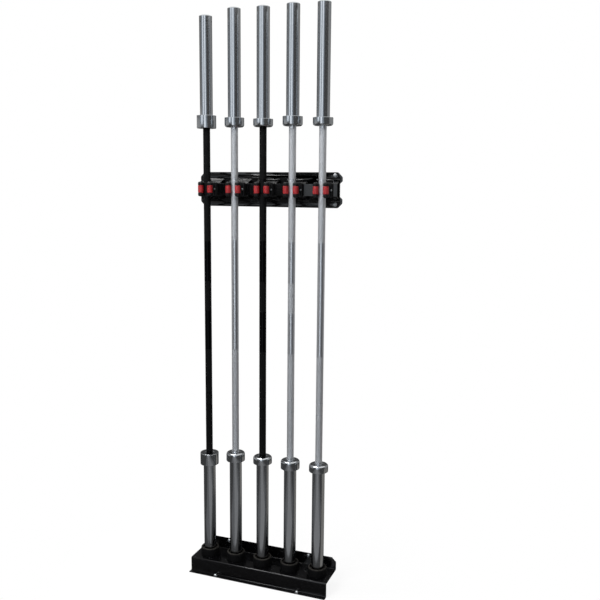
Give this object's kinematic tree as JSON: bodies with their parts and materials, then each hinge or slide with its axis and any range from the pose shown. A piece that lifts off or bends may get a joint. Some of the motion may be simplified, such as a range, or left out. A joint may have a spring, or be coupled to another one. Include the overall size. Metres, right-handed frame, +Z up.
{
  "type": "barbell storage rack",
  "caption": "Upright wall-mounted rack that stores barbells on end: a floor tray with a row of cups below, and a bracket with a row of sprung roller clips above.",
  "frame": {"origin": "on the floor, in the middle of the rack's overall width and depth", "axes": "+X along the wall to the right as seen from the front, +Y into the wall, +Z up along the bars"},
  "size_m": [0.604, 0.146, 2.2788],
  "materials": {
    "black_powder_coat": "gloss",
    "black_nylon": "satin",
    "cup_rubber": "matte",
    "red_rubber": "satin",
    "zinc": "bright",
    "spring_steel": "satin",
    "chrome": "polished",
    "black_steel": "satin"
  },
  "bodies": {
    "rack": {"wall_bracket": "black_powder_coat", "bracket_bolt_1": "zinc", "bracket_bolt_2": "zinc", "bracket_bolt_3": "zinc", "bracket_bolt_4": "zinc", "base_tray": "black_powder_coat", "tray_wall_bolt_1": "zinc", "tray_wall_bolt_2": "zinc", "tray_floor_bolt_1": "zinc", "tray_floor_bolt_2": "zinc", "cup_1": "cup_rubber", "clip_base_1": "black_nylon", "clip_spring_1": "spring_steel", "cup_2": "cup_rubber", "clip_base_2": "black_nylon", "clip_spring_2": "spring_steel", "cup_3": "cup_rubber", "clip_base_3": "black_nylon", "clip_spring_3": "spring_steel", "cup_4": "cup_rubber", "clip_base_4": "black_nylon", "clip_spring_4": "spring_steel", "cup_5": "cup_rubber", "clip_base_5": "black_nylon", "clip_spring_5": "spring_steel"},
    "jaw_1_left": {"jaw_1_left": "black_nylon"},
    "roller_1_left": {"roller_1_left": "red_rubber"},
    "jaw_1_right": {"jaw_1_right": "black_nylon"},
    "roller_1_right": {"roller_1_right": "red_rubber"},
    "bar_1": {"bar_1_shaft": "black_steel"},
    "lower_sleeve_1": {"bar_1_lower_sleeve": "chrome"},
    "upper_sleeve_1": {"bar_1_upper_sleeve": "chrome"},
    "jaw_2_left": {"jaw_2_left": "black_nylon"},
    "roller_2_left": {"roller_2_left": "red_rubber"},
    "jaw_2_right": {"jaw_2_right": "black_nylon"},
    "roller_2_right": {"roller_2_right": "red_rubber"},
    "bar_2": {"bar_2_shaft": "chrome"},
    "lower_sleeve_2": {"bar_2_lower_sleeve": "chrome"},
    "upper_sleeve_2": {"bar_2_upper_sleeve": "chrome"},
    "jaw_3_left": {"jaw_3_left": "black_nylon"},
    "roller_3_left": {"roller_3_left": "red_rubber"},
    "jaw_3_right": {"jaw_3_right": "black_nylon"},
    "roller_3_right": {"roller_3_right": "red_rubber"},
    "bar_3": {"bar_3_shaft": "black_steel"},
    "lower_sleeve_3": {"bar_3_lower_sleeve": "chrome"},
    "upper_sleeve_3": {"bar_3_upper_sleeve": "chrome"},
    "jaw_4_left": {"jaw_4_left": "black_nylon"},
    "roller_4_left": {"roller_4_left": "red_rubber"},
    "jaw_4_right": {"jaw_4_right": "black_nylon"},
    "roller_4_right": {"roller_4_right": "red_rubber"},
    "bar_4": {"bar_4_shaft": "chrome"},
    "lower_sleeve_4": {"bar_4_lower_sleeve": "chrome"},
    "upper_sleeve_4": {"bar_4_upper_sleeve": "chrome"},
    "jaw_5_left": {"jaw_5_left": "black_nylon"},
    "roller_5_left": {"roller_5_left": "red_rubber"},
    "jaw_5_right": {"jaw_5_right": "black_nylon"},
    "roller_5_right": {"roller_5_right": "red_rubber"},
    "bar_5": {"bar_5_shaft": "chrome"},
    "lower_sleeve_5": {"bar_5_lower_sleeve": "chrome"},
    "upper_sleeve_5": {"bar_5_upper_sleeve": "chrome"}
  },
  "joints": [
    {"name": "jaw_1_left_swing", "type": "hinge", "parent": "rack", "child": "jaw_1_left", "pos_m": [-0.2595, 0.023, 1.599], "axis": [0, 0, -1], "range_deg": [0, 22], "stiffness_Nm_per_rad": 0.6, "springref_deg": -8.59},
    {"name": "roller_1_left_spin", "type": "hinge", "parent": "jaw_1_left", "child": "roller_1_left", "pos_m": [-0.2622, -0.00723, 1.599], "axis": [0, 0, 1], "continuous": true},
    {"name": "jaw_1_right_swing", "type": "hinge", "parent": "rack", "child": "jaw_1_right", "pos_m": [-0.2245, 0.023, 1.599], "axis": [0, 0, 1], "range_deg": [0, 22], "stiffness_Nm_per_rad": 0.6, "springref_deg": -8.59},
    {"name": "roller_1_right_spin", "type": "hinge", "parent": "jaw_1_right", "child": "roller_1_right", "pos_m": [-0.2218, -0.00723, 1.599], "axis": [0, 0, 1], "continuous": true},
    {"name": "bar_1_lift", "type": "slide", "parent": "rack", "child": "bar_1", "axis": [0, 0, 1], "range_m": [0, 0.05]},
    {"name": "lower_sleeve_1_spin", "type": "hinge", "parent": "bar_1", "child": "lower_sleeve_1", "pos_m": [-0.242, 0.008, 0.29], "axis": [0, 0, 1], "continuous": true},
    {"name": "upper_sleeve_1_spin", "type": "hinge", "parent": "bar_1", "child": "upper_sleeve_1", "pos_m": [-0.242, 0.008, 2.06], "axis": [0, 0, 1], "continuous": true},
    {"name": "jaw_2_left_swing", "type": "hinge", "parent": "rack", "child": "jaw_2_left", "pos_m": [-0.1385, 0.023, 1.599], "axis": [0, 0, -1], "range_deg": [0, 22], "stiffness_Nm_per_rad": 0.6, "springref_deg": -8.59},
    {"name": "roller_2_left_spin", "type": "hinge", "parent": "jaw_2_left", "child": "roller_2_left", "pos_m": [-0.1412, -0.00723, 1.599], "axis": [0, 0, 1], "continuous": true},
    {"name": "jaw_2_right_swing", "type": "hinge", "parent": "rack", "child": "jaw_2_right", "pos_m": [-0.1035, 0.023, 1.599], "axis": [0, 0, 1], "range_deg": [0, 22], "stiffness_Nm_per_rad": 0.6, "springref_deg": -8.59},
    {"name": "roller_2_right_spin", "type": "hinge", "parent": "jaw_2_right", "child": "roller_2_right", "pos_m": [-0.1008, -0.00723, 1.599], "axis": [0, 0, 1], "continuous": true},
    {"name": "bar_2_lift", "type": "slide", "parent": "rack", "child": "bar_2", "axis": [0, 0, 1], "range_m": [0, 0.05]},
    {"name": "lower_sleeve_2_spin", "type": "hinge", "parent": "bar_2", "child": "lower_sleeve_2", "pos_m": [-0.121, 0.008, 0.29], "axis": [0, 0, 1], "continuous": true},
    {"name": "upper_sleeve_2_spin", "type": "hinge", "parent": "bar_2", "child": "upper_sleeve_2", "pos_m": [-0.121, 0.008, 2.06], "axis": [0, 0, 1], "continuous": true},
    {"name": "jaw_3_left_swing", "type": "hinge", "parent": "rack", "child": "jaw_3_left", "pos_m": [-0.0175, 0.023, 1.599], "axis": [0, 0, -1], "range_deg": [0, 22], "stiffness_Nm_per_rad": 0.6, "springref_deg": -8.59},
    {"name": "roller_3_left_spin", "type": "hinge", "parent": "jaw_3_left", "child": "roller_3_left", "pos_m": [-0.0202, -0.00723, 1.599], "axis": [0, 0, 1], "continuous": true},
    {"name": "jaw_3_right_swing", "type": "hinge", "parent": "rack", "child": "jaw_3_right", "pos_m": [0.0175, 0.023, 1.599], "axis": [0, 0, 1], "range_deg": [0, 22], "stiffness_Nm_per_rad": 0.6, "springref_deg": -8.59},
    {"name": "roller_3_right_spin", "type": "hinge", "parent": "jaw_3_right", "child": "roller_3_right", "pos_m": [0.0202, -0.00723, 1.599], "axis": [0, 0, 1], "continuous": true},
    {"name": "bar_3_lift", "type": "slide", "parent": "rack", "child": "bar_3", "axis": [0, 0, 1], "range_m": [0, 0.05]},
    {"name": "lower_sleeve_3_spin", "type": "hinge", "parent": "bar_3", "child": "lower_sleeve_3", "pos_m": [0, 0.008, 0.29], "axis": [0, 0, 1], "continuous": true},
    {"name": "upper_sleeve_3_spin", "type": "hinge", "parent": "bar_3", "child": "upper_sleeve_3", "pos_m": [0, 0.008, 2.06], "axis": [0, 0, 1], "continuous": true},
    {"name": "jaw_4_left_swing", "type": "hinge", "parent": "rack", "child": "jaw_4_left", "pos_m": [0.1035, 0.023, 1.599], "axis": [0, 0, -1], "range_deg": [0, 22], "stiffness_Nm_per_rad": 0.6, "springref_deg": -8.59},
    {"name": "roller_4_left_spin", "type": "hinge", "parent": "jaw_4_left", "child": "roller_4_left", "pos_m": [0.1008, -0.00723, 1.599], "axis": [0, 0, 1], "continuous": true},
    {"name": "jaw_4_right_swing", "type": "hinge", "parent": "rack", "child": "jaw_4_right", "pos_m": [0.1385, 0.023, 1.599], "axis": [0, 0, 1], "range_deg": [0, 22], "stiffness_Nm_per_rad": 0.6, "springref_deg": -8.59},
    {"name": "roller_4_right_spin", "type": "hinge", "parent": "jaw_4_right", "child": "roller_4_right", "pos_m": [0.1412, -0.00723, 1.599], "axis": [0, 0, 1], "continuous": true},
    {"name": "bar_4_lift", "type": "slide", "parent": "rack", "child": "bar_4", "axis": [0, 0, 1], "range_m": [0, 0.05]},
    {"name": "lower_sleeve_4_spin", "type": "hinge", "parent": "bar_4", "child": "lower_sleeve_4", "pos_m": [0.121, 0.008, 0.29], "axis": [0, 0, 1], "continuous": true},
    {"name": "upper_sleeve_4_spin", "type": "hinge", "parent": "bar_4", "child": "upper_sleeve_4", "pos_m": [0.121, 0.008, 2.06], "axis": [0, 0, 1], "continuous": true},
    {"name": "jaw_5_left_swing", "type": "hinge", "parent": "rack", "child": "jaw_5_left", "pos_m": [0.2245, 0.023, 1.599], "axis": [0, 0, -1], "range_deg": [0, 22], "stiffness_Nm_per_rad": 0.6, "springref_deg": -8.59},
    {"name": "roller_5_left_spin", "type": "hinge", "parent": "jaw_5_left", "child": "roller_5_left", "pos_m": [0.2218, -0.00723, 1.599], "axis": [0, 0, 1], "continuous": true},
    {"name": "jaw_5_right_swing", "type": "hinge", "parent": "rack", "child": "jaw_5_right", "pos_m": [0.2595, 0.023, 1.599], "axis": [0, 0, 1], "range_deg": [0, 22], "stiffness_Nm_per_rad": 0.6, "springref_deg": -8.59},
    {"name": "roller_5_right_spin", "type": "hinge", "parent": "jaw_5_right", "child": "roller_5_right", "pos_m": [0.2622, -0.00723, 1.599], "axis": [0, 0, 1], "continuous": true},
    {"name": "bar_5_lift", "type": "slide", "parent": "rack", "child": "bar_5", "axis": [0, 0, 1], "range_m": [0, 0.05]},
    {"name": "lower_sleeve_5_spin", "type": "hinge", "parent": "bar_5", "child": "lower_sleeve_5", "pos_m": [0.242, 0.008, 0.29], "axis": [0, 0, 1], "continuous": true},
    {"name": "upper_sleeve_5_spin", "type": "hinge", "parent": "bar_5", "child": "upper_sleeve_5", "pos_m": [0.242, 0.008, 2.06], "axis": [0, 0, 1], "continuous": true}
  ]
}
